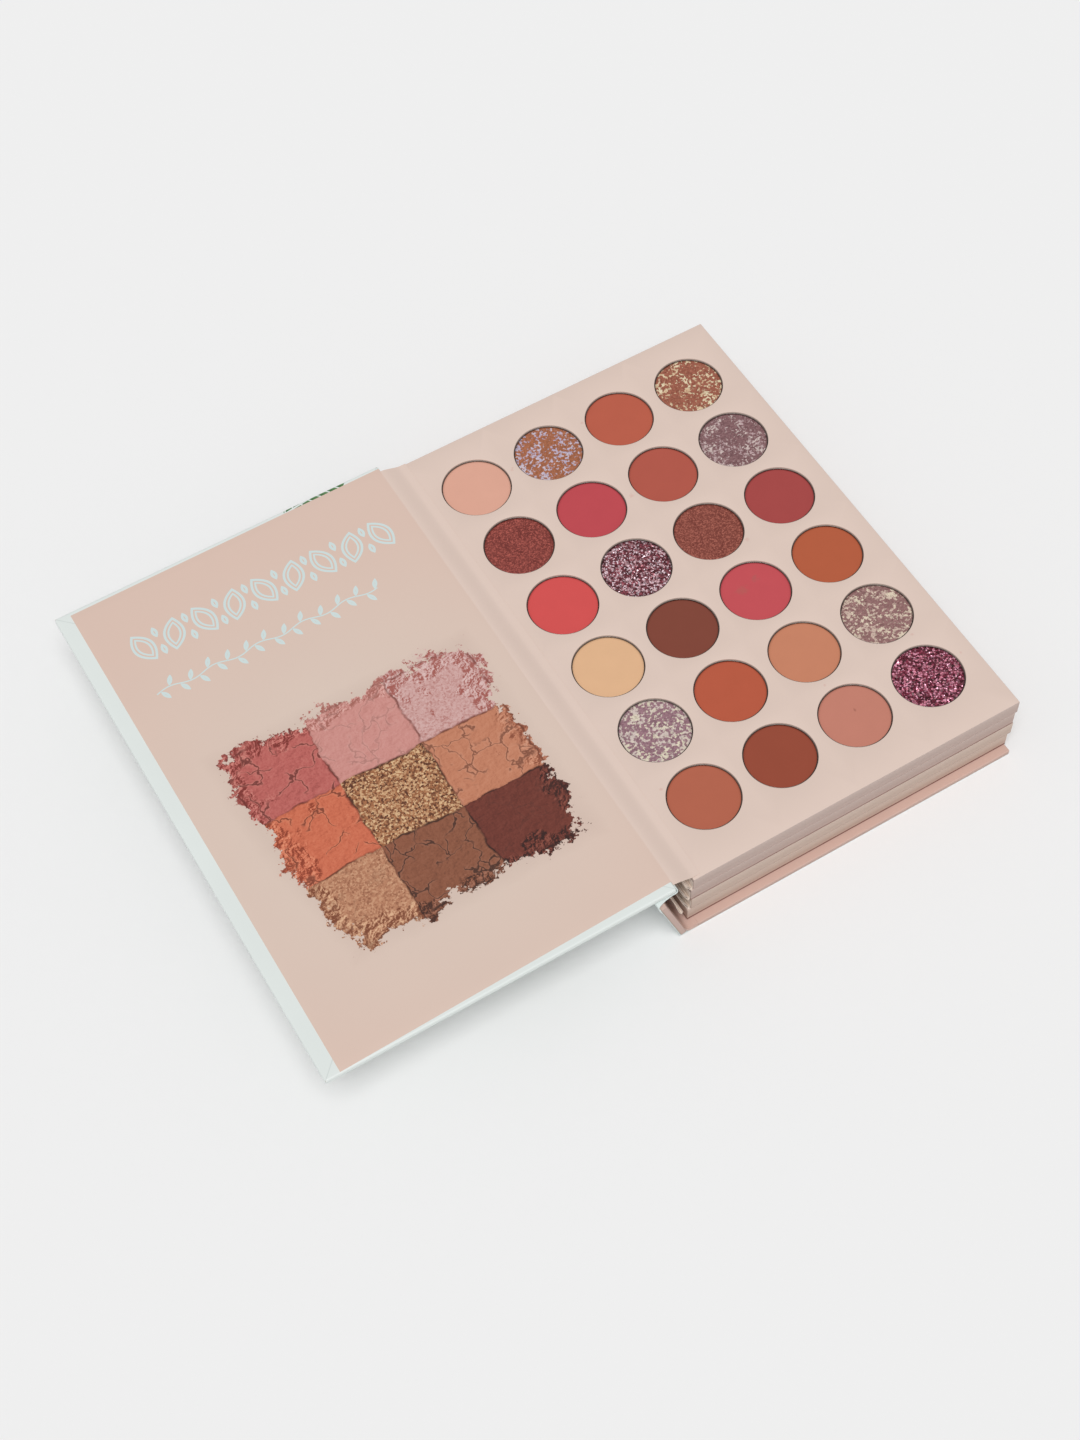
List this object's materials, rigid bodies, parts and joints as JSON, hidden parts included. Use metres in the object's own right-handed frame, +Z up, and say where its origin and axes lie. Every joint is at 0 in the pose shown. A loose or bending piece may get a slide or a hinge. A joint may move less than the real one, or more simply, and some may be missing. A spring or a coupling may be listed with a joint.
{
  "type": "eyeshadow palette",
  "caption": "Book-shaped eyeshadow palette: a hard paper case that opens on hinged board pages holding round tins of pressed powder.",
  "frame": {"origin": "centre of the footprint of the open palette, on the surface it stands on", "axes": "+X from the open front cover across the spine to the fore-edge of the pages, +Y from the front edge to the back edge along the spine, +Z up"},
  "size_m": [0.2768, 0.2134, 0.0319],
  "materials": {
    "grey_board": "matt greyboard",
    "printed_wrap_paper": "smooth printed wrap paper, matt laminated",
    "lining_paper": "matt printed lining paper",
    "page_card": "matt coated card",
    "foam_board": "die-cut board, paper covered edges",
    "hinge_paper": "uncoated paper",
    "tinplate": "bright tinplate",
    "powder_mixed": "pressed powder",
    "shade_1_1": "matt pressed powder",
    "shade_1_2": "shimmer or glitter pressed powder",
    "shade_1_3": "matt pressed powder",
    "shade_1_4": "shimmer or glitter pressed powder",
    "shade_2_1": "shimmer or glitter pressed powder",
    "shade_2_2": "matt pressed powder",
    "shade_2_3": "matt pressed powder",
    "shade_2_4": "shimmer or glitter pressed powder",
    "shade_3_1": "matt pressed powder",
    "shade_3_2": "shimmer or glitter pressed powder",
    "shade_3_3": "shimmer or glitter pressed powder",
    "shade_3_4": "matt pressed powder",
    "shade_4_1": "matt pressed powder",
    "shade_4_2": "matt pressed powder",
    "shade_4_3": "matt pressed powder",
    "shade_4_4": "matt pressed powder",
    "shade_5_1": "shimmer or glitter pressed powder",
    "shade_5_2": "matt pressed powder",
    "shade_5_3": "matt pressed powder",
    "shade_5_4": "shimmer or glitter pressed powder",
    "shade_6_1": "matt pressed powder",
    "shade_6_2": "matt pressed powder",
    "shade_6_3": "matt pressed powder",
    "shade_6_4": "shimmer or glitter pressed powder"
  },
  "bodies": {
    "back_cover": {"back_board": "grey_board", "back_wrap": "printed_wrap_paper", "back_liner": "lining_paper", "back_joint_strip": "lining_paper", "page_4_base": "grey_board", "page_4_core": "foam_board", "page_4_card": "page_card", "page_4_tins": "tinplate", "page_4_powders": "powder_mixed"},
    "page_3": {"page_3_base": "grey_board", "page_3_core": "foam_board", "page_3_card": "page_card", "page_3_tins": "tinplate", "page_3_powders": "powder_mixed", "page_hinge_3": "hinge_paper"},
    "page_2": {"page_2_base": "grey_board", "page_2_core": "foam_board", "page_2_card": "page_card", "page_2_tins": "tinplate", "page_2_powders": "powder_mixed", "page_hinge_2": "hinge_paper"},
    "page_1": {"page_1_base": "grey_board", "page_1_core": "foam_board", "page_1_card": "page_card", "page_1_tins": "tinplate", "page_hinge_1": "hinge_paper", "powder_1_1": "shade_1_1", "powder_1_2": "shade_1_2", "powder_1_3": "shade_1_3", "powder_1_4": "shade_1_4", "powder_2_1": "shade_2_1", "powder_2_2": "shade_2_2", "powder_2_3": "shade_2_3", "powder_2_4": "shade_2_4", "powder_3_1": "shade_3_1", "powder_3_2": "shade_3_2", "powder_3_3": "shade_3_3", "powder_3_4": "shade_3_4", "powder_4_1": "shade_4_1", "powder_4_2": "shade_4_2", "powder_4_3": "shade_4_3", "powder_4_4": "shade_4_4", "powder_5_1": "shade_5_1", "powder_5_2": "shade_5_2", "powder_5_3": "shade_5_3", "powder_5_4": "shade_5_4", "powder_6_1": "shade_6_1", "powder_6_2": "shade_6_2", "powder_6_3": "shade_6_3", "powder_6_4": "shade_6_4", "endpaper_flap": "lining_paper"},
    "spine": {"spine_board": "grey_board", "spine_wrap": "printed_wrap_paper", "spine_liner": "lining_paper"},
    "front_joint": {"front_joint_strip": "printed_wrap_paper"},
    "front_cover": {"front_board": "grey_board", "front_wrap": "printed_wrap_paper", "front_liner": "lining_paper"}
  },
  "joints": [
    {"name": "spine_hinge", "type": "hinge", "parent": "back_cover", "child": "spine", "pos_m": [-0.003, 0, 0.0013], "axis": [0, 1, 0], "range_deg": [-72, 18], "deforming": ["back_joint_strip"]},
    {"name": "front_joint_fold", "type": "hinge", "parent": "spine", "child": "front_joint", "pos_m": [-0.01165, 0, 0.02793], "axis": [0, 1, 0], "range_deg": [-18, 72], "deforming": ["front_joint_strip"]},
    {"name": "front_cover_hinge", "type": "hinge", "parent": "front_joint", "child": "front_cover", "pos_m": [-0.00526, 0, 0.03075], "axis": [0, 1, 0], "range_deg": [0, 180], "deforming": ["endpaper_flap"]},
    {"name": "page_3_turn", "type": "hinge", "parent": "back_cover", "child": "page_3", "pos_m": [0.002, 0, 0.00915], "axis": [0, 1, 0], "range_deg": [-33, 0], "deforming": ["page_hinge_3"]},
    {"name": "page_2_turn", "type": "hinge", "parent": "page_3", "child": "page_2", "pos_m": [0.0016, 0, 0.01595], "axis": [0, 1, 0], "range_deg": [-49, 0], "deforming": ["page_hinge_2"]},
    {"name": "page_1_turn", "type": "hinge", "parent": "page_2", "child": "page_1", "pos_m": [0.0024, 0, 0.02275], "axis": [0, 1, 0], "range_deg": [-90, 0], "deforming": ["page_hinge_1"]}
  ],
  "couplings": [
    {"joint": "front_joint_fold", "follows": "spine_hinge", "ratio": -1}
  ]
}
